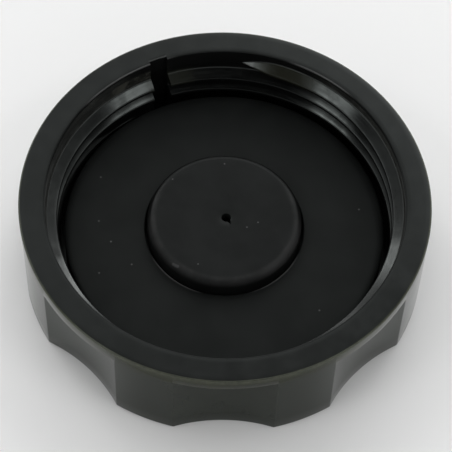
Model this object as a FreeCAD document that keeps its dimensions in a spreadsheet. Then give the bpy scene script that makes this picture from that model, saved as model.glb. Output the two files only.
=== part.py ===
import FreeCAD, Part
import math
import os

import Sketcher
from FreeCAD import Placement, Rotation, Vector

# Vented screw cap for a fuel filler neck. It lies on its closed end with the open, threaded end up.
# The origin is the middle of the closed face, +Z points out of the open mouth and the eight grip
# flutes are spaced from -Y. All sizes are in millimetres and degrees.

SIZES = [
    ("bore_radius", 40.0, "plain wall inside the mouth, which is also the root of the thread"),
    ("rim_width", 5.75, "flat rim face, from the bore to the outside"),
    ("cap_height", 24.5, "closed face to rim face"),
    ("closed_wall", 4.0, "thickness of the closed end"),
    ("lip_height", 3.3, "plain round band that the grip flutes stop under"),
    ("flute_count", 8, "grip flutes round the side"),
    ("flute_depth", 3.05, "deepest cut of a flute below the outside"),
    ("flute_radius", 36.7, "radius of a flute's hollow"),
    ("lobe_round", 0.6, "round on the upright edges between flutes and lobes"),
    ("base_bevel", 0.5, "bevel on the outer edge of the closed face"),
    ("rim_bevel", 0.35, "bevel on the outer edge of the rim face"),
    ("mouth_bevel", 0.3, "bevel on the inner edge of the rim face"),
    ("thread_pitch", 4.0, "one-start right-hand thread"),
    ("thread_turns", 3, "whole turns before the thread ends in the slot"),
    ("thread_height_ratio", 0.625, "ridge height as a share of the pitch"),
    ("crest_ratio", 0.2, "flat crest as a share of the pitch"),
    ("sink_ratio", 0.1, "how far the ridge is rooted in the wall, as a share of the pitch"),
    ("flank_angle", 30.0, "slope of each thread flank"),
    ("thread_start_depth", 3.76, "rim face to the middle of the ridge where the thread starts"),
    ("thread_start_angle", 84.0, "where the thread starts, counted from +X"),
    ("start_share", 0.04, "height of the ridge where it starts, as a share of its full height"),
    ("runout_angle", 9.0, "arc over which the ridge grows from that to its full height"),
    ("slot_angle", 112.5, "middle of the vent slot, counted from +X"),
    ("slot_width", 4.2, "vent slot, side to side"),
    ("slot_depth", 0.9, "cut of the vent slot into the wall behind the thread"),
    ("ring_wall", 2.0, "low ring on the closed wall that centres the carrier's skirt"),
    ("ring_height", 1.9, "height of that ring above the closed wall"),
    ("push_gap", 0.1, "radial gap between the ring and the carrier's skirt"),
    ("air_notch_count", 4, "air notches through the ring and through the skirt"),
    ("air_notch_width", 4.0, "width of those notches"),
    ("carrier_height", 5.5, "closed wall to the face that carries the gasket"),
    ("carrier_plate", 3.0, "thickness of the carrier's disc"),
    ("carrier_skirt", 2.5, "thickness of the carrier's skirt"),
    ("carrier_gap", 1.4, "radial gap between the thread crests and the carrier and gasket"),
    ("vent_opening", 12.0, "radius of the hole through the carrier's disc"),
    ("foam_gap", 0.2, "radial gap between the foam disc and the ring"),
    ("gasket_thickness", 3.0, "flat rubber ring"),
    ("gasket_bevel", 0.35, "bevel on the upper edge of the gasket's hole"),
    ("cover_radius", 17.4, "vent cover, outside"),
    ("cover_gap", 0.5, "gap between the vent cover and the gasket's hole"),
    ("cover_rise", 3.7, "vent cover above the gasket's face"),
    ("cover_round", 1.75, "radius of the soft upper edge of the vent cover"),
    ("cover_wall", 2.0, "thickness of the vent cover"),
    ("flange_reach", 3.3, "vent cover's flange beyond its wall, trapped under the gasket"),
    ("flange_thickness", 1.2, "vent cover's flange"),
    ("flange_gap", 0.2, "radial gap round the flange in its recess"),
    ("vent_radius", 1.05, "pierced breather hole"),
    ("vent_offset", 0.35, "breather hole off the middle, along +X"),
    ("nick_reach", 1.95, "middle of the breather hole to the point of its nick"),
    ("nick_angle", -57.0, "where the nick points, counted from +X"),
    ("nick_half_angle", 24.0, "half of the arc that the nick takes out of the hole"),
]

# Sizes that several outlines share, written once as expressions on the sheet.
OUTSIDE = "(sizes.bore_radius + sizes.rim_width)"
THREAD_HEIGHT = "(sizes.thread_pitch * sizes.thread_height_ratio)"
CREST = "(sizes.bore_radius - %s)" % THREAD_HEIGHT
CREST_WIDTH = "(sizes.thread_pitch * sizes.crest_ratio)"
SINK = "(sizes.thread_pitch * sizes.sink_ratio)"
CARRIER = "(%s - sizes.carrier_gap)" % CREST
SKIRT_INSIDE = "(%s - sizes.carrier_skirt)" % CARRIER
RING = "(%s - sizes.push_gap)" % SKIRT_INSIDE
RING_INSIDE = "(%s - sizes.ring_wall)" % RING
PLATE_UNDER = "(sizes.closed_wall + sizes.carrier_height - sizes.carrier_plate)"
SEAT = "(sizes.closed_wall + sizes.carrier_height)"
GASKET_TOP = "(%s + sizes.gasket_thickness)" % SEAT
FLANGE = "(sizes.cover_radius + sizes.flange_reach)"
FLANGE_UNDER = "(%s - sizes.flange_thickness)" % SEAT
COVER_TOP = "(%s + sizes.cover_rise)" % GASKET_TOP

# The vent cover's soft edge is turned as this many narrow flats.
SOFT_EDGE_FLATS = 3

NEAR = 1e-4

os.makedirs("parts", exist_ok=True)
doc = FreeCAD.newDocument("fuel_cap")
sheet = doc.addObject("Spreadsheet::Sheet", "sizes")
for row, (name, value, note) in enumerate(SIZES, start=1):
    sheet.set("A%d" % row, name)
    sheet.set("B%d" % row, str(value))
    sheet.set("C%d" % row, note)
    sheet.setAlias("B%d" % row, name)
doc.recompute()


def size(name):
    return float(getattr(sheet, name))


def new_body(name):
    body = doc.addObject("PartDesign::Body", name)
    body.Label = name
    body.Placement = Placement()
    return body


def origin_feature(body, role):
    for feature in body.Origin.OriginFeatures:
        if feature.Role == role:
            return feature
    raise RuntimeError("no origin feature " + role)


def new_sketch(body, name, plane, lift="0", turn_axis=Vector(0, 0, 1), turn=None):
    sketch = body.newObject("Sketcher::SketchObject", name)
    sketch.AttachmentSupport = (origin_feature(body, plane), [""])
    sketch.MapMode = "FlatFace"
    if turn:
        sketch.AttachmentOffset = Placement(Vector(), Rotation(turn_axis, 1.0))
        sketch.setExpression("AttachmentOffset.Rotation.Angle", turn)
    sketch.setExpression("AttachmentOffset.Base.z", lift)
    return sketch


def bind(sketch, constraint, text):
    index = sketch.addConstraint(constraint)
    sketch.setExpression("Constraints[%d]" % index, text)


def place_point(sketch, edge, point, across, up):
    for kind, axis, text in (("DistanceX", -2, across), ("DistanceY", -1, up)):
        if text == "0":
            sketch.addConstraint(Sketcher.Constraint("PointOnObject", edge, point, axis))
        else:
            bind(sketch, Sketcher.Constraint(kind, -1, 1, edge, point, 1.0), text)


def draw_polygon(sketch, corners):
    count = len(corners)
    ring = [Vector(10 * math.cos(math.tau * i / count), 10 * math.sin(math.tau * i / count))
            for i in range(count)]
    for i in range(count):
        sketch.addGeometry(Part.LineSegment(ring[i], ring[(i + 1) % count]))
    for i in range(count):
        sketch.addConstraint(Sketcher.Constraint("Coincident", i, 2, (i + 1) % count, 1))
    for i, (across, up) in enumerate(corners):
        place_point(sketch, i, 1, across, up)


def draw_circle(sketch, across, up, radius):
    edge = sketch.addGeometry(Part.Circle(Vector(1, 1), Vector(0, 0, 1), 5.0))
    place_point(sketch, edge, 3, across, up)
    bind(sketch, Sketcher.Constraint("Radius", edge, 5.0), radius)


def revolve(body, name, corners):
    sketch = new_sketch(body, name + "_outline", "XZ_Plane")
    draw_polygon(sketch, corners)
    turned = body.newObject("PartDesign::Revolution", name)
    turned.Profile = sketch
    turned.ReferenceAxis = (sketch, ["V_Axis"])
    turned.Angle = 360.0
    doc.recompute()
    return turned


def pocket(body, name, sketch, length=None):
    """Cut the sketch upward, through everything if no length is given."""
    before = body.Tip.Shape.Volume
    cut = body.newObject("PartDesign::Pocket", name)
    cut.Profile = sketch
    cut.Reversed = True
    if length:
        cut.setExpression("Length", length)
    else:
        cut.Type = "ThroughAll"
    doc.recompute()
    if not cut.Shape.Volume < before - NEAR:
        raise RuntimeError(name + " cuts nothing")
    return cut


def polar_pattern(body, name, original, count):
    before = original.Shape.Volume
    pattern = body.newObject("PartDesign::PolarPattern", name)
    pattern.Originals = [original]
    pattern.Axis = (origin_feature(body, "Z_Axis"), [""])
    pattern.Angle = 360.0
    pattern.setExpression("Occurrences", count)
    body.Tip = pattern
    doc.recompute()
    if abs(pattern.Shape.Volume - before) < NEAR:
        raise RuntimeError(name + " repeats nothing")
    return pattern


def dress_edges(body, name, kind, wanted, amount):
    """Fillet or Chamfer the edges of the body's last feature that the test picks."""
    base = body.Tip
    picked = ["Edge%d" % (i + 1) for i, edge in enumerate(base.Shape.Edges) if wanted(edge)]
    dressed = body.newObject("PartDesign::" + kind, name)
    dressed.Base = (base, picked)
    dressed.setExpression("Radius" if kind == "Fillet" else "Size", amount)
    doc.recompute()
    return dressed


def is_ring(edge, radius, height):
    curve = edge.Curve
    return (isinstance(curve, Part.Circle) and abs(curve.Radius - radius) < NEAR
            and abs(curve.Center.z - height) < NEAR and math.hypot(curve.Center.x, curve.Center.y) < NEAR)


def is_upright(edge, radius):
    ends = [vertex.Point for vertex in edge.Vertexes]
    return (isinstance(edge.Curve, Part.Line) and abs(edge.tangentAt(edge.FirstParameter).z) > 1 - NEAR
            and all(abs(math.hypot(end.x, end.y) - radius) < NEAR for end in ends))


def lies_at(edge, height):
    box = edge.BoundBox
    return abs(box.ZMin - height) < NEAR and abs(box.ZMax - height) < NEAR


def cut_flutes(body):
    sketch = new_sketch(body, "flute_outline", "XY_Plane")
    middle = "-(%s - sizes.flute_depth + sizes.flute_radius)" % OUTSIDE
    draw_circle(sketch, "0", middle, "sizes.flute_radius")
    flute = pocket(body, "flute", sketch, "sizes.cap_height - sizes.lip_height")
    polar_pattern(body, "flutes", flute, "sizes.flute_count")


def dress_shell(body):
    outside = size("bore_radius") + size("rim_width")
    height = size("cap_height")
    dress_edges(body, "lobe_rounds", "Fillet", lambda e: is_upright(e, outside), "sizes.lobe_round")
    dress_edges(body, "base_bevels", "Chamfer", lambda e: lies_at(e, 0.0), "sizes.base_bevel")
    dress_edges(body, "rim_edge", "Chamfer", lambda e: is_ring(e, outside, height), "sizes.rim_bevel")
    dress_edges(body, "mouth_edge", "Chamfer", lambda e: is_ring(e, size("bore_radius"), height),
                "sizes.mouth_bevel")


def draw_ridge(body, name, angle, travel, share):
    """Draw the ridge across at an angle, at its travel along the thread and its share of full height."""
    middle = "(sizes.cap_height - sizes.thread_start_depth - sizes.thread_pitch * %s / 360)" % travel
    crest = "(sizes.bore_radius - %s * %s)" % (THREAD_HEIGHT, share)
    half_crest = "%s / 2 * %s" % (CREST_WIDTH, share)
    half_bore = "(%s / 2 + %s * tan(sizes.flank_angle)) * %s" % (CREST_WIDTH, THREAD_HEIGHT, share)
    half_root = "(%s + %s * tan(sizes.flank_angle))" % (half_bore, SINK)
    root = "(sizes.bore_radius + %s)" % SINK
    sketch = new_sketch(body, name, "XZ_Plane", turn_axis=Vector(0, 1, 0), turn=angle)
    draw_polygon(sketch, [(crest, "%s - %s" % (middle, half_crest)),
                          (root, "%s - %s" % (middle, half_root)),
                          (root, "%s + %s" % (middle, half_root)),
                          (crest, "%s + %s" % (middle, half_crest))])
    return sketch


def add_thread(body):
    """One right-hand ridge that grows out of the wall, descends and ends in the middle of the slot."""
    before = body.Tip.Shape.Volume
    full_angle = "sizes.thread_start_angle - sizes.runout_angle"
    tip = draw_ridge(body, "thread_tip", "sizes.thread_start_angle", "0", "sizes.start_share")
    full = draw_ridge(body, "thread_profile", full_angle, "sizes.runout_angle", "1")
    start = body.newObject("PartDesign::AdditiveLoft", "thread_start")
    start.Profile = tip
    start.Sections = [full]
    start.Ruled = True
    thread = body.newObject("PartDesign::AdditiveHelix", "thread")
    thread.Profile = full
    thread.ReferenceAxis = (full, ["V_Axis"])
    thread.Mode = "pitch-turns-angle"
    thread.setExpression("Pitch", "sizes.thread_pitch")
    thread.setExpression("Turns", "sizes.thread_turns + (%s - sizes.slot_angle) / 360" % full_angle)
    thread.Reversed = True
    doc.recompute()
    if not thread.Shape.Volume > start.Shape.Volume + NEAR > before + 2 * NEAR:
        raise RuntimeError("the thread adds nothing")


def cut_slot(body):
    sketch = new_sketch(body, "slot_outline", "XY_Plane", "sizes.closed_wall", turn="sizes.slot_angle")
    inner = "%s - %s" % (CREST, THREAD_HEIGHT)
    outer = "sizes.bore_radius + sizes.slot_depth"
    draw_polygon(sketch, [(inner, "-sizes.slot_width / 2"), (outer, "-sizes.slot_width / 2"),
                          (outer, "sizes.slot_width / 2"), (inner, "sizes.slot_width / 2")])
    pocket(body, "vent_slot", sketch)


def cut_air_notches(body, name, inside, outside, margin, length):
    """Notch a ring on the closed wall for air, first at the slot's angle and then round the ring."""
    sketch = new_sketch(body, name + "_outline", "XY_Plane", "sizes.closed_wall", turn="sizes.slot_angle")
    inner = "%s - %s" % (inside, margin)
    outer = "%s + %s" % (outside, margin)
    draw_polygon(sketch, [(inner, "-sizes.air_notch_width / 2"), (outer, "-sizes.air_notch_width / 2"),
                          (outer, "sizes.air_notch_width / 2"), (inner, "sizes.air_notch_width / 2")])
    notch = pocket(body, name, sketch, length)
    polar_pattern(body, name + "_round", notch, "sizes.air_notch_count")


def make_cap_body():
    body = new_body("cap_body")
    ring_top = "(sizes.closed_wall + sizes.ring_height)"
    revolve(body, "turned_shell", [
        ("0", "0"), (OUTSIDE, "0"), (OUTSIDE, "sizes.cap_height"),
        ("sizes.bore_radius", "sizes.cap_height"), ("sizes.bore_radius", "sizes.closed_wall"),
        (RING, "sizes.closed_wall"), (RING, ring_top), (RING_INSIDE, ring_top),
        (RING_INSIDE, "sizes.closed_wall"), ("0", "sizes.closed_wall")])
    cut_flutes(body)
    dress_shell(body)
    add_thread(body)
    cut_slot(body)
    cut_air_notches(body, "ring_notch", RING_INSIDE, RING, "sizes.ring_wall / 2", "sizes.ring_height * 2")
    return body


def make_carrier():
    body = new_body("vent_carrier")
    recess = "(%s + sizes.flange_gap)" % FLANGE
    revolve(body, "turned_disc", [
        ("sizes.vent_opening", PLATE_UNDER), (SKIRT_INSIDE, PLATE_UNDER),
        (SKIRT_INSIDE, "sizes.closed_wall"), (CARRIER, "sizes.closed_wall"), (CARRIER, SEAT),
        (recess, SEAT), (recess, FLANGE_UNDER), ("sizes.vent_opening", FLANGE_UNDER)])
    cut_air_notches(body, "skirt_notch", SKIRT_INSIDE, CARRIER, "sizes.carrier_skirt / 2",
                    "sizes.ring_height")
    return body


def make_foam():
    body = new_body("breather_foam")
    sketch = new_sketch(body, "foam_outline", "XY_Plane", "sizes.closed_wall")
    draw_circle(sketch, "0", "0", RING_INSIDE + " - sizes.foam_gap")
    foam = body.newObject("PartDesign::Pad", "foam_disc")
    foam.Profile = sketch
    foam.setExpression("Length", "sizes.carrier_height - sizes.carrier_plate")
    doc.recompute()
    return body


def make_gasket():
    body = new_body("seal_gasket")
    hole = "(sizes.cover_radius + sizes.cover_gap)"
    revolve(body, "turned_ring", [(hole, SEAT), (CARRIER, SEAT), (CARRIER, GASKET_TOP), (hole, GASKET_TOP)])
    top = sum(size(name) for name in ("closed_wall", "carrier_height", "gasket_thickness"))
    radius = size("cover_radius") + size("cover_gap")
    dress_edges(body, "hole_edge", "Chamfer", lambda e: is_ring(e, radius, top), "sizes.gasket_bevel")
    return body


def cut_vent_hole(body):
    """The pierced hole is an arc that two straight cuts close in a point."""
    sketch = new_sketch(body, "vent_outline", "XY_Plane", SEAT)
    start = "(sizes.nick_angle + sizes.nick_half_angle)"
    end = "(sizes.nick_angle - sizes.nick_half_angle)"
    first = math.radians(size("nick_angle") + size("nick_half_angle"))
    last = math.radians(size("nick_angle") - size("nick_half_angle"))
    centre = Vector(size("vent_offset"), 0)
    radius = size("vent_radius")
    tip = centre + Vector(math.cos(math.radians(size("nick_angle"))),
                          math.sin(math.radians(size("nick_angle")))) * size("nick_reach")
    arc = Part.ArcOfCircle(Part.Circle(centre, Vector(0, 0, 1), radius), first, last + math.tau)
    ends = [centre + Vector(math.cos(angle), math.sin(angle)) * radius for angle in (first, last)]
    sketch.addGeometry(arc)
    sketch.addGeometry(Part.LineSegment(ends[1], tip))
    sketch.addGeometry(Part.LineSegment(tip, ends[0]))
    for edge, point, other, other_point in ((0, 2, 1, 1), (1, 2, 2, 1), (2, 2, 0, 1)):
        sketch.addConstraint(Sketcher.Constraint("Coincident", edge, point, other, other_point))
    place_point(sketch, 0, 3, "sizes.vent_offset", "0")
    bind(sketch, Sketcher.Constraint("Radius", 0, radius), "sizes.vent_radius")
    for edge, point, reach, angle in ((0, 1, "sizes.vent_radius", start), (0, 2, "sizes.vent_radius", end),
                                      (1, 2, "sizes.nick_reach", "sizes.nick_angle")):
        along = "sizes.vent_offset + %s * cos(%s)" % (reach, angle)
        bind(sketch, Sketcher.Constraint("DistanceX", -1, 1, edge, point, 1.0), along)
    below = "sizes.nick_reach * sin(sizes.nick_angle)"
    bind(sketch, Sketcher.Constraint("DistanceY", -1, 1, 1, 2, -1.0), below)
    pocket(body, "vent_hole", sketch)


def soft_edge():
    """Corners along the round between the vent cover's side and its top."""
    corners = []
    for step in range(SOFT_EDGE_FLATS + 1):
        angle = 90.0 * step / SOFT_EDGE_FLATS
        across = "(sizes.cover_radius - sizes.cover_round * (1 - cos(%g)))" % angle
        up = "(%s - sizes.cover_round * (1 - sin(%g)))" % (COVER_TOP, angle)
        corners.append((across, up))
    return corners


def make_cover():
    body = new_body("vent_cover")
    inside = "(sizes.cover_radius - sizes.cover_wall)"
    ceiling = "(%s - sizes.cover_wall)" % COVER_TOP
    rim = [(inside, FLANGE_UNDER), (FLANGE, FLANGE_UNDER), (FLANGE, SEAT), ("sizes.cover_radius", SEAT)]
    top = [("0", COVER_TOP), ("0", ceiling), (inside, ceiling)]
    revolve(body, "turned_cover", rim + soft_edge() + top)
    cut_vent_hole(body)
    return body


def check_document():
    doc.recompute()
    for item in doc.Objects:
        if "Invalid" in item.State or "Error" in item.State:
            raise RuntimeError(item.Name + " failed: " + ", ".join(item.State))


def export(bodies):
    for body in bodies:
        shape = body.Shape
        if shape.isNull() or not shape.isValid() or len(shape.Solids) != 1:
            raise RuntimeError(body.Label + " is not one valid solid")
    for body in bodies:
        body.Shape.exportStep("parts/%s.step" % body.Label)
        print(body.Label, "volume %.1f mm3" % body.Shape.Volume)


pieces = [make_cap_body(), make_carrier(), make_foam(), make_gasket(), make_cover()]
check_document()
export(pieces)
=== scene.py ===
import math

import bmesh
import bpy
from mathutils import Matrix, Vector


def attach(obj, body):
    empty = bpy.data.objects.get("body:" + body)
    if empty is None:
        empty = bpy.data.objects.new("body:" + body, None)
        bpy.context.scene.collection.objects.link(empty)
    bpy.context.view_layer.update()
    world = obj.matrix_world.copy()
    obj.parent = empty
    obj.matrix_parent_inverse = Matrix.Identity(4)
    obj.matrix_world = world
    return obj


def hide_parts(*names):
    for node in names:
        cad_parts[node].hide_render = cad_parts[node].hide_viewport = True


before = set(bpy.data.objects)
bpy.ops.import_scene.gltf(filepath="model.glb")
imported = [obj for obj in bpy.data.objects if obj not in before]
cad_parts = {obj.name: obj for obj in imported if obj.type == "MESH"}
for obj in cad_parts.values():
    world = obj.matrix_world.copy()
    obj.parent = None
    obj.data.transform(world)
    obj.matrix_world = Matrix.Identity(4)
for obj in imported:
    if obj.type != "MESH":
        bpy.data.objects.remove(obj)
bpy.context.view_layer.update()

# Lengths are in millimetres and angles in degrees, as in the part's source. mesh_object() turns them
# into metres.
MM = 0.001
BORE = 40.0
OUTSIDE = 45.75
HEIGHT = 24.5
CLOSED_WALL = 4.0
LIP_DEPTH = 3.3
LIP_UNDER = HEIGHT - LIP_DEPTH
FLUTES = 8
FLUTE_DEPTH = 3.05
FLUTE_RADIUS = 36.7
LOBE_ROUND = 0.6
BASE_ROUND = 0.5
LIP_ROUND = 0.25
RIM_ROUND = 0.35
MOUTH_ROUND = 0.2
SLOT_ANGLE = 112.5
SLOT_HALF = 2.1
SLOT_BACK = 40.9
SLOT_ROUND = 0.05
BURR_PAST_SLOT = 0.15
BURR_LAP = 0.03
BURR_WIDTH = 0.16
BURR_FLARE = 0.12
BURR_FOOT = 0.25
BURR_WAVE = 0.02
BURR_WAVE_RATE = 7.0
RING_OUTER = 33.5
RING_INNER = 31.5
RING_TOP = 5.9
PITCH = 4.0
CREST = 37.5
CREST_HALF = 0.4
FLANK_ANGLE = 30.0
FLANK_SLOPE = math.tan(math.radians(FLANK_ANGLE))
THREAD_START = 84.0
THREAD_START_Z = 20.74
RUNOUT = 14.0
LEAST_GROWTH = 0.02
ROOT_ROUND = 0.8
CREST_ROUND = 0.6
ROOT_SUNK = 0.03
ROOT_SKIRT = 0.05
GASKET_OUTER = 36.1
GASKET_HOLE = 17.9
GASKET_UNDER = 9.5
GASKET_TOP = 12.5
GASKET_EDGE_WIDTH = 2.4
GASKET_EDGE_DROP = 0.6
GASKET_HOLE_ROUND = 0.35
COVER_RADIUS = 17.4
COVER_INSIDE = 15.4
COVER_TOP = 16.2
COVER_CEILING = 14.2
COVER_ROUND = 1.75
FLANGE_RADIUS = 20.7
FLANGE_UNDER = 8.3
VENT_RADIUS = 1.05
VENT_X = 0.35
VENT_ROUND = 0.14
VENT_ROUND_MIDDLE = 0.04
NICK_REACH = 1.95
NICK_ANGLE = -57.0
NICK_HALF = 24.0

# Where the shell and the gasket get rows of points of their own, so that no face is very long.
UNDER_RINGS = (0.0, 12.0, 24.0, 34.0)
SIDE_ROWS = (4.0, 9.0, 14.0, 18.0, LIP_UNDER)
BORE_ROWS = (20.0, 15.0, 10.0, CLOSED_WALL)
FLOOR_RING = 15.0
GASKET_RINGS = (31.0, 28.0, 24.0, 21.0)

# An edge that turns by more than this is shaded sharp.
SHARP_ANGLE = 32.0
# Points of one part that are closer than this are made one, in metres.
WELD = 1e-7


def polar(radius, degrees, height):
    angle = math.radians(degrees)
    return (radius * math.cos(angle), radius * math.sin(angle), height)


def steps(first, last, count):
    """Evenly spaced values from first to last, both included."""
    return [first + (last - first) * i / count for i in range(count + 1)]


def arc(centre_r, centre_z, radius, first, last, count):
    """Points (r, z) on an arc in the axial plane, angles counted from outward to up."""
    return [(centre_r + radius * math.cos(math.radians(a)), centre_z + radius * math.sin(math.radians(a)))
            for a in steps(first, last, count)]


def grid_faces(columns, rows, closed=True):
    """Quads of a grid whose points are stored column by column."""
    faces = []
    for c in range(columns if closed else columns - 1):
        here = c * rows
        there = ((c + 1) % columns) * rows
        for r in range(rows - 1):
            faces.append((here + r, there + r, there + r + 1, here + r + 1))
    return faces


def flat(columns):
    """The points of all columns in one list."""
    return [p for column in columns for p in column]


def mesh_object(name, parts):
    """One smooth-shaded object from (points, faces) parts, welded within each part."""
    whole = bmesh.new()
    for points, faces in parts:
        part = bmesh.new()
        verts = [part.verts.new((x * MM, y * MM, z * MM)) for x, y, z in points]
        for face in faces:
            part.faces.new([verts[i] for i in face])
        bmesh.ops.remove_doubles(part, verts=part.verts, dist=WELD)
        bmesh.ops.dissolve_degenerate(part, edges=part.edges, dist=WELD)
        bmesh.ops.recalc_face_normals(part, faces=part.faces)
        piece = bpy.data.meshes.new(name + "_part")
        part.to_mesh(piece)
        part.free()
        whole.from_mesh(piece)
        bpy.data.meshes.remove(piece)
    mesh = bpy.data.meshes.new(name)
    whole.to_mesh(mesh)
    whole.free()
    mesh.shade_smooth()
    mesh.set_sharp_from_angle(angle=math.radians(SHARP_ANGLE))
    obj = bpy.data.objects.new(name, mesh)
    bpy.context.scene.collection.objects.link(obj)
    return obj


# The cap's own moulding: its outline with eight grip flutes, then the turned shell and the thread.

def flute_outline():
    """(angle, radius) round one flute and its two half lobes, from the flute's middle."""
    centre = OUTSIDE - FLUTE_DEPTH + FLUTE_RADIUS
    inner = OUTSIDE - LOBE_ROUND
    reach = FLUTE_RADIUS + LOBE_ROUND
    lobe = math.acos((centre ** 2 + inner ** 2 - reach ** 2) / (2 * centre * inner))
    round_x, round_y = inner * math.cos(lobe), inner * math.sin(lobe)
    share = FLUTE_RADIUS / reach
    edge = math.atan2(round_y * share, centre + (round_x - centre) * share)
    half = []
    for a in steps(0, edge, 18)[:-1]:
        half.append((a, centre * math.cos(a) - math.sqrt(FLUTE_RADIUS ** 2 - (centre * math.sin(a)) ** 2)))
    for a in steps(edge, lobe, 6)[:-1]:
        off = a - lobe
        half.append((a, inner * math.cos(off) + math.sqrt(LOBE_ROUND ** 2 - (inner * math.sin(off)) ** 2)))
    for a in steps(lobe, math.pi / FLUTES, 8):
        half.append((a, OUTSIDE))
    both = [(-a, r) for a, r in reversed(half[1:-1])] + half
    return [(math.degrees(a), r) for a, r in both]


def shell_columns():
    """(outer angle, outer radius, inner angle, inner radius, inner edge round) all the way round."""
    columns = []
    slot_edge = math.degrees(math.asin(SLOT_HALF / BORE))
    slot_corner = math.degrees(math.atan(SLOT_HALF / SLOT_BACK))
    for k in range(FLUTES):
        for a, r in flute_outline():
            angle = (-90.0 + 360.0 / FLUTES * k + a) % 360.0
            if abs(angle - SLOT_ANGLE) > slot_edge + 0.1:
                columns.append((angle, r, angle, BORE, MOUTH_ROUND))
    for side in (-1, 1):
        angle = SLOT_ANGLE + side * slot_edge
        columns.append((angle, OUTSIDE, angle, BORE, MOUTH_ROUND))
    for off in steps(-slot_corner, slot_corner, 8):
        angle = SLOT_ANGLE + off
        columns.append((angle, OUTSIDE, angle, SLOT_BACK / math.cos(math.radians(off)), SLOT_ROUND))
    return sorted(columns)


def shell_column(outer_angle, outer, inner_angle, inner, edge):
    """Points from the closed face's middle, up the outside, over the rim and down to the floor's middle."""
    under = [(r, 0.0) for r in UNDER_RINGS]
    under += arc(outer - BASE_ROUND, BASE_ROUND, BASE_ROUND, -90, 0, 4)
    side = [(outer, z) for z in SIDE_ROWS]
    lip = min(LIP_ROUND, OUTSIDE - outer)
    lip_under = arc(OUTSIDE - lip, LIP_UNDER + lip, lip, -90, 0, 3)
    rim = arc(OUTSIDE - RIM_ROUND, HEIGHT - RIM_ROUND, RIM_ROUND, 0, 90, 5)
    points = [polar(r, outer_angle, z) for r, z in under + side + lip_under + rim]
    start = Vector(points[-1])
    mouth = arc(inner + edge, HEIGHT - edge, edge, 90, 180, 4)
    finish = Vector(polar(mouth[0][0], inner_angle, HEIGHT))
    points += [tuple(start.lerp(finish, share)) for share in (0.2, 0.4, 0.6, 0.8)]
    inside = [(inner, z) for z in BORE_ROWS]
    ring = [(RING_OUTER, CLOSED_WALL), (RING_OUTER, RING_TOP), (RING_INNER, RING_TOP),
            (RING_INNER, CLOSED_WALL), (FLOOR_RING, CLOSED_WALL), (0.0, CLOSED_WALL)]
    points += [polar(r, inner_angle, z) for r, z in mouth + inside + ring]
    return points


def shell_part():
    columns = [shell_column(*column) for column in shell_columns()]
    return flat(columns), grid_faces(len(columns), len(columns[0]))


def thread_profile(growth):
    """The ridge across, from its lower root to its upper root, as (radius, height off its middle)."""
    crest = BORE - (BORE - CREST) * growth
    half = CREST_HALF * growth
    root = half + (BORE - crest) * FLANK_SLOPE
    foot = ROOT_ROUND * growth
    foot_reach = foot / math.tan(math.radians(90.0 - FLANK_ANGLE))
    nose = CREST_ROUND * growth
    nose_reach = nose * FLANK_SLOPE
    lower = [(BORE + ROOT_SUNK, -root - foot_reach - ROOT_SKIRT)]
    lower += arc(BORE - foot, -root - foot_reach, foot, 0, 90.0 - FLANK_ANGLE, 5)
    lower += arc(crest + nose, -half + nose_reach, nose, 270.0 - FLANK_ANGLE, 180, 5)
    return lower + [(r, -z) for r, z in reversed(lower)]


def thread_part(first, last, ends):
    """One stretch of the ridge between two turns of travel from its start, trimmed square to the slot."""
    count = max(2, round(abs(last - first)))
    columns = []
    for share in steps(0, 1, count):
        column = []
        start = min(1.0, (first + (last - first) * share) / RUNOUT)
        growth = max(LEAST_GROWTH, 1.0 - (1.0 - start) ** 2)
        for radius, off in thread_profile(growth):
            trim = math.degrees(math.asin(SLOT_HALF / radius))
            begin = first + (trim if ends[0] else 0.0)
            finish = last - (trim if ends[1] else 0.0)
            travel = begin + (finish - begin) * share
            height = THREAD_START_Z - PITCH * travel / 360.0 + off
            column.append(polar(radius, THREAD_START - travel, height))
        columns.append(column)
    rows = len(columns[0])
    faces = grid_faces(len(columns), rows, closed=False)
    last_column = (len(columns) - 1) * rows
    if ends[0]:
        faces.append(tuple(range(rows - 1, -1, -1)))
    if ends[1]:
        faces.append(tuple(range(last_column, last_column + rows)))
    return flat(columns), faces


def thread_parts():
    to_slot = (THREAD_START - SLOT_ANGLE) % 360.0
    parts = [thread_part(0.0, to_slot, (False, True))]
    for turn in (0, 1):
        first = to_slot + 360.0 * turn
        parts.append(thread_part(first, first + 360.0, (True, True)))
    return parts


def slot_burr_part():
    """A thin turned-up edge along the back of the slot, on the rim face, wavy and wider at its ends."""
    columns = []
    half = SLOT_HALF + BURR_PAST_SLOT
    back = SLOT_BACK - BURR_LAP
    foot = HEIGHT - BURR_FOOT
    turn = math.radians(SLOT_ANGLE)
    for off in steps(-half, half, 16):
        width = BURR_WIDTH + BURR_FLARE * (abs(off) / half)
        top = HEIGHT - BURR_WAVE + BURR_WAVE * math.cos(BURR_WAVE_RATE * off)
        section = [(back, foot), (back - width * 0.4, HEIGHT - 0.1), (back - width * 0.2, top),
                   (back + width * 0.5, top), (back + width, HEIGHT - 0.03), (back + width * 0.6, foot)]
        columns.append([(r * math.cos(turn) - off * math.sin(turn),
                         r * math.sin(turn) + off * math.cos(turn), z) for r, z in section])
    rows = len(columns[0])
    faces = []
    for c in range(len(columns) - 1):
        for r in range(rows):
            faces.append((c * rows + r, (c + 1) * rows + r, (c + 1) * rows + (r + 1) % rows,
                          c * rows + (r + 1) % rows))
    faces.append(tuple(range(rows)))
    faces.append(tuple(range(len(columns) * rows - 1, (len(columns) - 1) * rows - 1, -1)))
    return flat(columns), faces


def turned_part(outline, columns=360):
    """A ring turned from a closed (radius, height) outline."""
    points = []
    for c in range(columns):
        points += [polar(r, 360.0 * c / columns, z) for r, z in outline + outline[:1]]
    return points, grid_faces(columns, len(outline) + 1)


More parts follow.
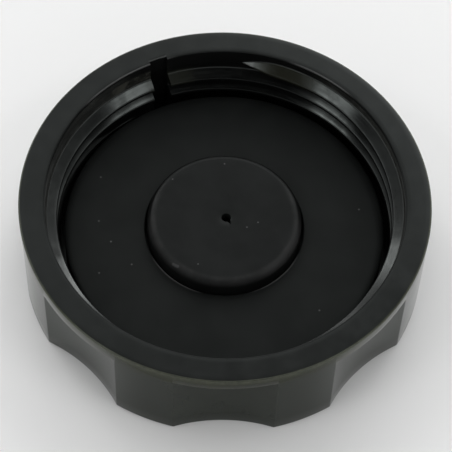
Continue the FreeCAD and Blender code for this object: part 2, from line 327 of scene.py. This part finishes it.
def gasket_outline():
    """The gasket across, as (radius, height): its outer edge falls away in a low round."""
    under = [(GASKET_HOLE, GASKET_UNDER), (GASKET_OUTER, GASKET_UNDER)]
    outer = [(GASKET_OUTER - GASKET_EDGE_WIDTH * (1.0 - math.cos(math.radians(a))),
              GASKET_TOP - GASKET_EDGE_DROP * (1.0 - math.sin(math.radians(a)))) for a in steps(0, 90, 10)]
    top = [(r, GASKET_TOP) for r in GASKET_RINGS]
    hole = arc(GASKET_HOLE + GASKET_HOLE_ROUND, GASKET_TOP - GASKET_HOLE_ROUND, GASKET_HOLE_ROUND,
               90, 180, 5)
    return under + outer + top + hole


def vent_outline():
    """(angle, radius) of the pierced hole and its nick, from the hole's own middle."""
    tip = Vector((NICK_REACH, 0.0))
    side = Vector((VENT_RADIUS * math.cos(math.radians(NICK_HALF)),
                   VENT_RADIUS * math.sin(math.radians(NICK_HALF))))
    run = side - tip
    outline = []
    for a in steps(-180.0, 180.0, 120)[:-1]:
        off = abs(a)
        radius = VENT_RADIUS
        if off < NICK_HALF:
            slope = math.tan(math.radians(off))
            share = (slope * tip.x) / (run.y - slope * run.x)
            radius = (tip + run * share).length
        outline.append((NICK_ANGLE + a, radius))
    return outline


def cover_column(angle, hole):
    """One column of the cover, from its hole over the top, round the flange and back under the ceiling."""
    turn = math.radians(angle)

    def from_hole(radius, height):
        return (VENT_X + radius * math.cos(turn), radius * math.sin(turn), height)

    far = Vector(polar(COVER_RADIUS - COVER_ROUND, angle, COVER_TOP))
    near = Vector(from_hole(hole + VENT_ROUND, COVER_TOP))
    column = [from_hole(hole, COVER_CEILING), from_hole(hole, COVER_TOP - VENT_ROUND),
              from_hole(hole + VENT_ROUND_MIDDLE, COVER_TOP - VENT_ROUND_MIDDLE)]
    column += [tuple(near.lerp(far, share)) for share in (0.0, 0.1, 0.25, 0.5, 0.75, 0.9)]
    outline = arc(COVER_RADIUS - COVER_ROUND, COVER_TOP - COVER_ROUND, COVER_ROUND, 90, 0, 12)
    outline += [(COVER_RADIUS, GASKET_UNDER), (FLANGE_RADIUS, GASKET_UNDER), (FLANGE_RADIUS, FLANGE_UNDER),
                (COVER_INSIDE, FLANGE_UNDER), (COVER_INSIDE, COVER_CEILING)]
    column += [polar(r, angle, z) for r, z in outline]
    column.append(from_hole(hole, COVER_CEILING))
    return column


def cover_part():
    columns = []
    outline = vent_outline()
    for i, (angle, hole) in enumerate(outline):
        columns.append(cover_column(angle, hole))
        next_angle, next_hole = outline[(i + 1) % len(outline)]
        if next_angle < angle:
            next_angle += 360.0
        for share in (1 / 3, 2 / 3):
            columns.append(cover_column(angle + (next_angle - angle) * share,
                                        hole + (next_hole - hole) * share))
    return flat(columns), grid_faces(len(columns), len(columns[0]))


class Nodes:
    """Helpers that add nodes to a tree, of a material or of the world."""

    def __init__(self, tree):
        self.tree = tree

    def feed(self, target, value):
        """Link a socket to the value's own socket, or set it where the value is plain."""
        if isinstance(value, bpy.types.NodeSocket):
            self.tree.links.new(value, target)
        else:
            target.default_value = value

    def add(self, kind, *inputs, **settings):
        node = self.tree.nodes.new(kind)
        for key, value in settings.items():
            setattr(node, key, value)
        for socket, value in inputs:
            self.feed(node.inputs[socket], value)
        return node

    def math(self, operation, *values):
        return self.add("ShaderNodeMath", *enumerate(values), operation=operation).outputs[0]

    def times(self, product, *others):
        """The product of all the values."""
        for other in others:
            product = self.math("MULTIPLY", product, other)
        return product

    def ramp(self, value, low, high, to_low=0.0, to_high=1.0, shape="SMOOTHSTEP"):
        node = self.add("ShaderNodeMapRange", ("Value", value), ("From Min", low), ("From Max", high),
                        ("To Min", to_low), ("To Max", to_high), interpolation_type=shape)
        return node.outputs["Result"]

    def fall(self, value, low, high):
        """1 up to low, and 0 from high on."""
        return self.ramp(value, low, high, 1.0, 0.0)


# The slight tint that every material gives to what it reflects.
SHEEN = (0.915, 1.0, 0.97, 1.0)


def grey(level, red=1.0, green=1.0, blue=1.0):
    return (level * red, level * green, level * blue, 1.0)


class Surface(Nodes):
    """A Principled material that is built from noise over the piece's own place. Scales are per metre."""

    def __init__(self, name, roughness, specular):
        self.material = bpy.data.materials.new(name)
        self.material.use_nodes = True
        super().__init__(self.material.node_tree)
        self.shader = self.tree.nodes["Principled BSDF"]
        self.shader.inputs["Roughness"].default_value = roughness
        self.shader.inputs["Specular IOR Level"].default_value = specular
        self.shader.inputs["Specular Tint"].default_value = SHEEN
        self.place = self.add("ShaderNodeTexCoord").outputs["Object"]

    def noise(self, vector, scale, detail=3.0, roughness=0.5, depth=None):
        inputs = [("Vector", vector), ("Scale", scale), ("Detail", detail), ("Roughness", roughness)]
        dimensions = "3D"
        if depth is not None:
            dimensions = "4D"
            inputs.append(("W", depth))
        return self.add("ShaderNodeTexNoise", *inputs, noise_dimensions=dimensions).outputs["Fac"]

    def specks(self, cell, size, share):
        """Sparse round specks: one in some cells of the given size."""
        cells = self.add("ShaderNodeTexVoronoi", ("Vector", self.place), ("Scale", 1.0 / (cell * MM)),
                         ("Randomness", 1.0))
        split = self.add("ShaderNodeSeparateColor", ("Color", cells.outputs["Color"]))
        chosen = self.math("GREATER_THAN", split.outputs[0], 1.0 - share)
        return self.times(chosen, self.fall(cells.outputs["Distance"], size / cell * 0.5, size / cell))

    def spot(self, x, y, z, size):
        """One soft speck at a place."""
        away = self.add("ShaderNodeVectorMath", (0, self.place), (1, (x * MM, y * MM, z * MM)),
                        operation="DISTANCE").outputs["Value"]
        return self.fall(away, size * MM * 0.4, size * MM)

    def mix(self, share, first, second):
        """The first colour where share is 0, and the second where it is 1."""
        node = self.add("ShaderNodeMix", data_type="RGBA")
        sockets = {socket.name: socket for socket in node.inputs if socket.enabled}
        self.feed(sockets["Factor"], share)
        self.feed(sockets["A"], first)
        self.feed(sockets["B"], second)
        return [socket for socket in node.outputs if socket.enabled][0]

    def finish(self, colour, roughness, bumps, depth, strength):
        bump = self.add("ShaderNodeBump", ("Height", bumps), ("Distance", depth * MM),
                        ("Strength", strength))
        self.feed(self.shader.inputs["Base Color"], colour)
        self.feed(self.shader.inputs["Roughness"], roughness)
        self.feed(self.shader.inputs["Normal"], bump.outputs["Normal"])
        return self.material


class RoundSurface(Surface):
    """A material that also goes by distance from the axis, height and direction round the axis."""

    def __init__(self, name, roughness, specular):
        super().__init__(name, roughness, specular)
        self.x, self.y, z = self.add("ShaderNodeSeparateXYZ", ("Vector", self.place)).outputs
        off_axis = self.add("ShaderNodeCombineXYZ", ("X", self.x), ("Y", self.y)).outputs[0]
        length = self.add("ShaderNodeVectorMath", (0, off_axis), operation="LENGTH")
        around = self.add("ShaderNodeVectorMath", (0, off_axis), operation="NORMALIZE")
        self.radius = self.times(length.outputs["Value"], 1.0 / MM)
        self.height = self.times(z, 1.0 / MM)
        self.around = around.outputs["Vector"]

    def turned_marks(self, along, across):
        """Noise drawn out round the axis, as a lathe or a mould's turned face leaves it."""
        stretched = self.add("ShaderNodeVectorMath", (0, self.around), ("Scale", along), operation="SCALE")
        lifted = self.add("ShaderNodeCombineXYZ", ("Z", self.times(self.radius, across)))
        vector = self.add("ShaderNodeVectorMath", (0, stretched.outputs[0]), (1, lifted.outputs[0]),
                          operation="ADD")
        return self.noise(vector.outputs[0], 1.0, 4.0, 0.6, self.times(self.height, across))

    def reach(self, vector, degrees):
        """How far a vector goes in a direction round the axis."""
        turn = math.radians(degrees)
        direction = (math.cos(turn), math.sin(turn), 0.0)
        node = self.add("ShaderNodeVectorMath", (0, vector), (1, direction), operation="DOT_PRODUCT")
        return node.outputs["Value"]

    def toward(self, degrees, full, none):
        """1 within full degrees of a direction round the axis, down to 0 at none degrees."""
        facing = self.reach(self.around, degrees)
        return self.ramp(facing, math.cos(math.radians(none)), math.cos(math.radians(full)))


# The colours of the cap's plastic and of what lies on it, and its gloss.
PLASTIC_DARK = grey(0.0028, 0.96, 1.0, 0.98)
PLASTIC_LIGHT = grey(0.0052, 0.96, 1.0, 0.98)
FUEL_FILM = grey(0.028, 0.97, 1.0, 0.93)
DUST_LEFT_OF_SLOT = grey(0.048, 1.0, 1.0, 0.86)
DUST_RIGHT_OF_SLOT = grey(0.014, 1.0, 1.05, 0.8)
DUST_ON_RIDGE = grey(0.012, 1.0, 1.02, 0.72)
PAINTED_TIP_HIGHLIGHT = grey(0.068)
HANDLED_GRIP = grey(0.0212, 0.87, 1.0, 0.79)
DUST_ON_LIP = grey(0.02, 1.0, 1.06, 0.35)
WORN_EDGE_AND_HIGHLIGHT = grey(0.05, 1.0, 1.06, 0.7)
PAINTED_MOUTH_HIGHLIGHT = grey(0.04)
SCUFFED_SLOT = grey(0.022)
PALE_SPECK = grey(0.12)
DEEP_FLOOR = grey(0.006)
CAP_GLOSS = 0.35
# Directions round the axis, in degrees from +X to +Y, and (direction, full, none) for the two stretches of
# the mouth's edge that keep more gloss and get a painted highlight.
BACK = 90.0
FRONT = 270.0
MOUTH_HIGHLIGHT_STRETCHES = ((125.0, 8.0, 20.0), (56.0, 4.0, 14.0))
# The place of a painted highlight on the thread's start, and of a dull smudge on the first ridge, left in
# the photograph.
RIDGE_TIP = polar(39.5, THREAD_START - 2.0, THREAD_START_Z)
SMUDGE = polar(38.6, 197.5, 20.5)


class CapPlastic(RoundSurface):
    """Black moulded plastic, with dust, wear and polish in the places where a neck and hands leave them."""

    def __init__(self):
        super().__init__("moulded_black", 0.18, CAP_GLOSS)
        self.patches = self.noise(self.place, 190.0, 5.0, 0.6)
        # The bore and all in it, the grip, the mouth's edge, where that gets a painted highlight, and the
        # deep floor.
        self.inside = self.fall(self.radius, BORE - 0.1, BORE + 0.3)
        self.outside = self.times(self.ramp(self.radius, BORE + 1.0, BORE + 2.0),
                                  self.fall(self.height, HEIGHT - 0.7, HEIGHT - 0.2))
        self.mouth = self.times(self.fall(self.radius, BORE + 0.22, BORE + 0.42),
                                self.ramp(self.height, HEIGHT - 0.4, HEIGHT - 0.15))
        self.polished = self.math("MAXIMUM", *[self.toward(*stretch) for stretch in MOUTH_HIGHLIGHT_STRETCHES])
        self.deep = self.times(self.inside, self.fall(self.height, GASKET_UNDER - 1.1, GASKET_UNDER - 0.3))

    def patchy(self, least, most):
        """Uneven between two levels, in patches of a few millimetres."""
        return self.ramp(self.patches, 0.3, 0.7, least, most)

    def off_first_turn(self):
        """Height over the middle of the thread's first turn, in millimetres."""
        turn = self.math("ARCTAN2", self.y, self.x)
        azimuth = self.times(turn, math.degrees(1.0))
        travel = self.math("WRAP", self.math("SUBTRACT", THREAD_START, azimuth), 360.0, 0.0)
        ridge = self.math("MULTIPLY_ADD", travel, -PITCH / 360.0, THREAD_START_Z)
        return self.math("SUBTRACT", self.height, ridge)

    def slot_wear(self):
        """Where the back edge of the slot was worn, on the rim face."""
        along = self.reach(self.place, SLOT_ANGLE)
        across = self.math("ABSOLUTE", self.reach(self.place, SLOT_ANGLE + 90.0))
        off = self.math("ABSOLUTE", self.math("SUBTRACT", along, SLOT_BACK * MM))
        return self.times(self.fall(off, 0.1 * MM, 0.32 * MM),
                          self.fall(across, (SLOT_HALF - 0.1) * MM, (SLOT_HALF + 0.3) * MM),
                          self.ramp(self.height, HEIGHT - 0.25, HEIGHT - 0.1))

    def plain(self):
        cloud = self.noise(self.place, 70.0, 4.0, 0.55)
        blotch = self.math("ADD", self.times(cloud, 0.5), self.times(self.patches, 0.5))
        return self.mix(self.ramp(blotch, 0.36, 0.64), PLASTIC_DARK, PLASTIC_LIGHT)

    def dust_inside(self, colour):
        """Dust and dried fuel on the mouth's wall and first ridge, left and right of the slot; a painted
        highlight on the tip.
        """
        wall = self.times(self.fall(self.radius, BORE + 0.3, BORE + 0.6), self.ramp(self.height, 15.0, 17.5))
        bare = self.times(self.ramp(self.radius, BORE - 0.3, BORE - 0.1),
                          self.fall(self.toward(BACK, 24.0, 46.0), 0.0, 1.0))
        film = self.times(bare, wall, self.patchy(0.4, 1.0),
                          self.fall(self.height, HEIGHT - 1.0, HEIGHT - 0.4))
        colour = self.mix(film, colour, FUEL_FILM)
        band = self.times(self.ramp(self.height, 18.9, 19.6), self.fall(self.height, 21.4, 22.4))
        left = self.times(self.toward(121.0, 4.0, 13.0), self.ramp(self.patches, 0.35, 0.6, 0.2, 1.0),
                          band, wall)
        colour = self.mix(left, colour, DUST_LEFT_OF_SLOT)
        right = self.times(self.toward(109.0, 0.5, 11.0), self.ramp(self.height, 19.0, 19.8, 0.8, 0.0), wall)
        colour = self.mix(right, colour, DUST_RIGHT_OF_SLOT)
        ridge = self.fall(self.radius, BORE - 0.25, BORE - 0.1)
        first = self.times(self.toward(72.0, 4.0, 19.0), self.ramp(self.height, 18.4, 19.0), ridge)
        colour = self.mix(first, colour, DUST_ON_RIDGE)
        # A painted highlight on the tip of the thread's first turn.
        return self.mix(self.times(self.spot(*RIDGE_TIP, 1.7), ridge), colour, PAINTED_TIP_HIGHLIGHT)

    def wear_outside(self, colour):
        """Marks of hands on the grip, dust on the lip, and wear with a painted highlight along its upper
        edge.
        """
        colour = self.mix(self.times(self.outside, self.patchy(0.8, 1.0)), colour, HANDLED_GRIP)
        lip = self.times(self.ramp(self.radius, OUTSIDE - 0.55, OUTSIDE - 0.25),
                         self.ramp(self.height, LIP_UNDER - 0.3, LIP_UNDER + 0.1))
        colour = self.mix(self.times(lip, self.patchy(0.2, 0.55)), colour, DUST_ON_LIP)
        # Wear and a painted highlight along the lip's upper edge.
        edge = self.times(self.ramp(self.radius, OUTSIDE - 0.45, OUTSIDE - 0.1),
                          self.ramp(self.height, HEIGHT - 2.3, HEIGHT - 0.2))
        scratches = self.noise(self.place, 900.0, 3.0, 0.6)
        return self.mix(self.times(edge, self.ramp(scratches, 0.3, 0.7, 0.35, 0.8)), colour, WORN_EDGE_AND_HIGHLIGHT)

    def wear_inside(self, colour):
        """A painted highlight on the mouth's edge, the worn back edge of the slot, the floor under the
        gasket, and specks all over.
        """
        # A painted highlight on two stretches of the mouth's edge.
        colour = self.mix(self.times(self.mouth, self.polished), colour, PAINTED_MOUTH_HIGHLIGHT)
        colour = self.mix(self.slot_wear(), colour, SCUFFED_SLOT)
        colour = self.mix(self.specks(4.2, 0.16, 0.05), colour, PALE_SPECK)
        return self.mix(self.deep, colour, DEEP_FLOOR)

    def roughness(self):
        """Patchy, streaked by the mould's turning marks inside, and a little smoother outside."""
        streaks = self.times(self.ramp(self.turned_marks(6.0, 2.2), 0.2, 0.8, -0.05, 0.07), self.inside)
        rough = self.math("ADD", self.patchy(0.14, 0.21), streaks)
        return self.math("ADD", rough, self.times(self.outside, -0.07))

    def bumps(self):
        drawn = self.times(self.turned_marks(14.0, 9.0), self.ramp(self.inside, 0.0, 1.0, 0.12, 0.9))
        grain = self.noise(self.place, 2600.0, 2.0, 0.5)
        return self.math("ADD", drawn, self.times(grain, 0.25))

    def gloss(self):
        """A neck's thread has polished the crests. Less gloss at the roots of the lower turns and on the
        third turn by the slot is painted shade.
        """
        off_first = self.off_first_turn()
        crest = self.fall(self.radius, CREST + 0.05, CREST + 0.8)
        crest_back = self.times(crest, self.inside, self.toward(BACK, 22.0, 38.0))
        # Painted shade: less gloss at the roots of the turns below the first.
        shaded_roots = self.times(self.fall(off_first, -2.7, -2.1), self.inside,
                          self.ramp(self.radius, CREST + 0.25, CREST + 1.4))
        # Painted shade: less gloss on the third turn by the slot.
        shaded_third_turn = self.times(self.fall(off_first, -6.8, -6.2), self.inside, self.toward(118.0, 14.0, 24.0))
        worn_front = self.times(self.outside, self.toward(FRONT, 20.0, 42.0))
        unpolished = self.times(self.mouth, self.fall(self.polished, 0.0, 1.0))
        smudge = self.spot(*SMUDGE, 3.0)
        changes = ((crest, 0.2), (crest_back, -0.4), (shaded_roots, -0.27), (shaded_third_turn, -0.42), (worn_front, -0.25),
                   (self.deep, -0.25), (self.mouth, -0.1), (unpolished, -0.12), (smudge, -0.2))
        gloss = CAP_GLOSS
        for share, change in changes:
            gloss = self.math("MULTIPLY_ADD", share, change, gloss)
        uneven = self.times(self.inside, self.ramp(self.patches, 0.4, 0.6))
        return self.times(self.math("MAXIMUM", gloss, 0.0), self.ramp(uneven, 0.0, 1.0, 1.0, 0.72))


def cap_plastic():
    s = CapPlastic()
    colour = s.dust_inside(s.plain())
    colour = s.wear_outside(colour)
    colour = s.wear_inside(colour)
    s.feed(s.shader.inputs["Specular IOR Level"], s.gloss())
    return s.finish(colour, s.roughness(), s.bumps(), 0.004, 0.4)


# The colours of the gasket and the cover, among them painted highlights, a painted glint and painted shade.
# Then the two stretches of the gasket's lip that get a painted highlight, as (direction, full, none), the
# places of single specks of dust, and the points of the painted glint on the cover's shoulder.
GASKET_DARK = grey(0.0058, 0.92, 1.0, 0.97)
GASKET_LIGHT = grey(0.0082, 0.92, 1.0, 0.97)
GASKET_LIP_HIGHLIGHT = grey(0.055)
COVER_DARK = grey(0.0075, 0.94, 1.0, 0.99)
COVER_LIGHT = grey(0.0105, 0.94, 1.0, 0.99)
COVER_SHOULDER_HIGHLIGHT = grey(0.02)
COVER_RIGHT_HIGHLIGHT = grey(0.024)
COVER_BACK_SHADE = grey(0.002)
DUST = grey(0.07)
COVER_GLINT = grey(0.045)
LIP_HIGHLIGHT_STRETCHES = ((230.0, 8.0, 26.0), (312.0, 8.0, 26.0))
GASKET_DUST = ((-28.4, 1.0), (-25.5, -4.4), (-20.7, -10.3), (-27.9, -12.6), (30.7, 4.8), (21.0, -21.6),
               (-28.3, 12.8))
COVER_DUST = ((-11.8, 10.1), (7.5, -1.2), (5.0, -2.5), (0.0, 14.4), (-5.9, -12.2), (-10.8, -13.0))
COVER_GLINT_POINTS = ((-11.4, -12.2, 15.9), (-10.9, -12.5, 15.9), (-10.4, -12.7, 15.9))


def with_spots(s, dust, places, height, size):
    """Specks all over, and single ones at places on a flat top."""
    for x, y in places:
        dust = s.math("MAXIMUM", dust, s.spot(x, y, height, size))
    return dust


def gasket_rubber():
    s = RoundSurface("seal_black", 0.4, 0.08)
    cloud = s.noise(s.place, 90.0, 4.0, 0.6)
    grain = s.noise(s.place, 1800.0, 3.0, 0.6)
    colour = s.mix(s.ramp(cloud, 0.3, 0.7), GASKET_DARK, GASKET_LIGHT)
    dust = with_spots(s, s.specks(7.5, 0.18, 0.1), GASKET_DUST, GASKET_TOP, 0.28)
    colour = s.mix(dust, colour, DUST)
    # A painted highlight on two stretches of the edge of the gasket's hole.
    lip = s.times(s.fall(s.radius, GASKET_HOLE + 0.3, GASKET_HOLE + 0.5),
                  s.ramp(s.height, GASKET_TOP - 0.4, GASKET_TOP - 0.2))
    lit_stretches = s.math("MAXIMUM", *[s.toward(*stretch) for stretch in LIP_HIGHLIGHT_STRETCHES])
    colour = s.mix(s.times(lip, lit_stretches), colour, GASKET_LIP_HIGHLIGHT)
    return s.finish(colour, s.ramp(cloud, 0.2, 0.8, 0.37, 0.43), grain, 0.006, 0.4)


def cover_colour(s, cloud):
    """Rubber with dust, painted highlights on its shoulder and its right side, and a short painted glint."""
    colour = s.mix(s.ramp(cloud, 0.3, 0.7), COVER_DARK, COVER_LIGHT)
    # A painted highlight on the shoulder, weaker towards the back.
    shoulder = s.times(s.ramp(s.radius, COVER_RADIUS - 2.4, COVER_RADIUS - 1.5),
                       s.ramp(s.height, COVER_TOP - 1.6, COVER_TOP - 0.6))
    lit_shoulder = s.times(shoulder, s.ramp(s.noise(s.place, 260.0, 4.0, 0.6), 0.35, 0.7, 0.3, 0.9),
                      s.ramp(s.toward(BACK, 40.0, 85.0), 0.0, 1.0, 1.0, 0.1))
    colour = s.mix(lit_shoulder, colour, COVER_SHOULDER_HIGHLIGHT)
    dust = with_spots(s, s.specks(6.5, 0.16, 0.1), COVER_DUST, COVER_TOP, 0.24)
    colour = s.mix(dust, colour, DUST)
    # A painted highlight on the right of the cover's shoulder.
    right = s.times(s.ramp(s.radius, COVER_RADIUS - 2.0, COVER_RADIUS - 0.8),
                    s.ramp(s.height, COVER_TOP - 1.6, COVER_TOP - 1.0), s.toward(325.0, 14.0, 34.0))
    colour = s.mix(right, colour, COVER_RIGHT_HIGHLIGHT)
    # A short painted glint on the shoulder, made of three soft spots.
    for place in COVER_GLINT_POINTS:
        colour = s.mix(s.spot(*place, 0.5), colour, COVER_GLINT)
    return colour


def cover_rubber():
    s = RoundSurface("cover_black", 0.4, 0.07)
    cloud = s.noise(s.place, 110.0, 4.0, 0.6)
    grain = s.noise(s.place, 2200.0, 3.0, 0.6)
    # Painted shade on the back of the cover's outer edge, which is also made rough there.
    foot = s.times(s.ramp(s.radius, COVER_RADIUS - 0.95, COVER_RADIUS - 0.6), s.toward(BACK, 80.0, 110.0))
    colour = s.mix(foot, cover_colour(s, cloud), COVER_BACK_SHADE)
    roughness = s.math("MAXIMUM", s.ramp(cloud, 0.2, 0.8, 0.36, 0.44), s.times(foot, 0.95))
    return s.finish(colour, roughness, grain, 0.006, 0.4)


def carrier_plastic():
    s = RoundSurface("carrier_black", 0.5, 0.5)
    marks = s.turned_marks(5.0, 3.0)
    colour = s.mix(s.noise(s.place, 150.0, 3.0, 0.5), grey(0.005), grey(0.009))
    return s.finish(colour, s.ramp(marks, 0.2, 0.8, 0.45, 0.6), marks, 0.03, 0.5)


def breather_foam():
    s = Surface("open_cell_foam", 0.9, 0.2)
    cells = s.add("ShaderNodeTexVoronoi", ("Vector", s.place), ("Scale", 1800.0), ("Randomness", 1.0))
    distance = cells.outputs["Distance"]
    colour = s.mix(s.ramp(distance, 0.1, 0.6), grey(0.006), grey(0.035))
    return s.finish(colour, s.ramp(distance, 0.0, 0.8, 0.8, 0.95), distance, 0.2, 0.8)


def studio_floor():
    s = Surface("studio_floor", 0.6, 0.2)
    cloud = s.noise(s.place, 6.0, 2.0, 0.5)
    colour = s.mix(cloud, grey(0.755), grey(0.785))
    return s.finish(colour, s.ramp(cloud, 0.2, 0.8, 0.55, 0.65), s.noise(s.place, 900.0, 2.0), 0.02, 0.3)


def dress(obj, material):
    obj.data.materials.clear()
    obj.data.materials.append(material)


def make_pieces():
    cap = mesh_object("cap_moulding", [shell_part()] + thread_parts() + [slot_burr_part()])
    gasket = mesh_object("gasket_ring", [turned_part(gasket_outline())])
    cover = mesh_object("breather_cover", [cover_part()])
    for obj, material, node, slot in (
            (cap, cap_plastic(), "cap_body", "cap_plastic"),
            (gasket, gasket_rubber(), "seal_gasket", "gasket_rubber"),
            (cover, cover_rubber(), "vent_cover", "cover_rubber")):
        dress(obj, material)
        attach(obj, "root")
        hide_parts(node)
    dress(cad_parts["vent_carrier"], carrier_plastic())
    dress(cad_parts["breather_foam"], breather_foam())


# Half the side of the square floor, in metres.
FLOOR_HALF = 3.0


def make_floor():
    mesh = bpy.data.meshes.new("studio_floor")
    corners = [(-FLOOR_HALF, -FLOOR_HALF, 0), (FLOOR_HALF, -FLOOR_HALF, 0), (FLOOR_HALF, FLOOR_HALF, 0),
               (-FLOOR_HALF, FLOOR_HALF, 0)]
    mesh.from_pydata(corners, [], [(0, 1, 2, 3)])
    floor = bpy.data.objects.new("studio_floor", mesh)
    bpy.context.scene.collection.objects.link(floor)
    dress(floor, studio_floor())


# The camera was fitted to the photograph's edges: rim, bore, flutes, thread, gasket and cover.
CAMERA_TURN = 2.182
CAMERA_ELEVATION = 58.478
CAMERA_ROLL = 2.449
CAMERA_DISTANCE = 454.56
CAMERA_TARGET = Vector((0.394, 0.0, 12.511))
CAMERA_LENS = 159.95


def make_camera():
    turn = math.radians(CAMERA_TURN)
    elevation = math.radians(CAMERA_ELEVATION)
    roll = math.radians(CAMERA_ROLL)
    forward = Vector((math.sin(turn) * math.cos(elevation), math.cos(turn) * math.cos(elevation),
                      -math.sin(elevation)))
    level = Vector((math.cos(turn), -math.sin(turn), 0.0))
    upright = level.cross(forward)
    right = level * math.cos(roll) + upright * math.sin(roll)
    up = upright * math.cos(roll) - level * math.sin(roll)
    data = bpy.data.cameras.new("camera")
    data.lens = CAMERA_LENS
    data.sensor_width = 36.0
    data.clip_start = 0.01
    camera = bpy.data.objects.new("camera", data)
    bpy.context.scene.collection.objects.link(camera)
    place = (CAMERA_TARGET - forward * CAMERA_DISTANCE) * MM
    turned = Matrix((right, up, -forward)).transposed().to_4x4()
    camera.matrix_world = Matrix.Translation(place) @ turned
    bpy.context.scene.camera = camera


# The surroundings are a light tent: brightness by elevation, then soft panels and dark flags on it.
# Azimuth is counted from +X to +Y.
TENT = ((0.0, 2.1), (12.0, 1.1), (30.0, 0.52), (50.0, 0.52), (65.0, 0.46), (77.0, 1.07), (90.0, 1.9))
# (azimuth, elevation, half width, half height, softness, level)
PANELS = (
    (92.5, 29.0, 39.5, 10.0, 9.0, 2.65),
    (136.0, 49.0, 17.0, 11.0, 9.0, 2.0),
    (59.0, 42.0, 26.0, 12.0, 16.0, 1.7),
    (103.0, 57.0, 10.0, 6.0, 10.0, 0.35),
    (99.0, 77.0, 37.0, 8.0, 9.0, -0.6),
    (178.0, 83.0, 51.0, 15.0, 10.0, 0.75),
    (352.0, 80.0, 67.0, 13.0, 9.0, 0.8),
    (271.0, 53.0, 96.0, 9.0, 8.0, -1.0),
    (210.0, 37.0, 24.0, 10.0, 18.0, 0.5),
    (85.0, 7.0, 23.0, 8.0, 14.0, 1.1),
    (328.0, 30.0, 30.0, 10.0, 10.0, 0.3),
    (270.0, 18.0, 26.0, 26.0, 12.0, -0.2),
    (202.0, 52.0, 12.0, 6.0, 6.0, 5.5),
    (335.0, 52.0, 13.0, 6.0, 6.0, 5.6),
    (57.5, 10.5, 6.0, 4.5, 4.5, 4.1),
    (126.5, 20.5, 5.0, 4.5, 4.5, 8.0),
    (113.0, 12.0, 6.0, 5.0, 5.0, -1.1),
)


def make_world():
    world = bpy.data.worlds.new("light_tent")
    bpy.context.scene.world = world
    world.use_nodes = True
    n = Nodes(world.node_tree)
    direction = n.add("ShaderNodeTexCoord").outputs["Generated"]
    x, y, z = n.add("ShaderNodeSeparateXYZ", ("Vector", direction)).outputs
    azimuth = n.times(n.math("ARCTAN2", y, x), math.degrees(1.0))
    elevation = n.times(n.math("ARCSINE", z), math.degrees(1.0))
    level = TENT[0][1]
    for (low, before), (high, after) in zip(TENT, TENT[1:]):
        level = n.math("ADD", level, n.ramp(elevation, low, high, 0.0, after - before, "LINEAR"))
    for middle, height, half_width, half_height, soft, strength in PANELS:
        across = n.math("ABSOLUTE", n.math("WRAP", n.math("SUBTRACT", azimuth, middle), 180.0, -180.0))
        up = n.math("ABSOLUTE", n.math("SUBTRACT", elevation, height))
        inside = n.times(n.fall(across, half_width - soft, half_width + soft),
                         n.fall(up, half_height - soft / 2, half_height + soft / 2))
        level = n.math("MULTIPLY_ADD", inside, strength, level)
    background = n.tree.nodes["Background"]
    n.feed(background.inputs["Strength"], n.math("MAXIMUM", level, 0.0))
    background.inputs["Color"].default_value = (1.0, 1.0, 1.0, 1.0)


make_pieces()
make_floor()
make_camera()
make_world()
bpy.context.scene.view_settings.view_transform = "Standard"
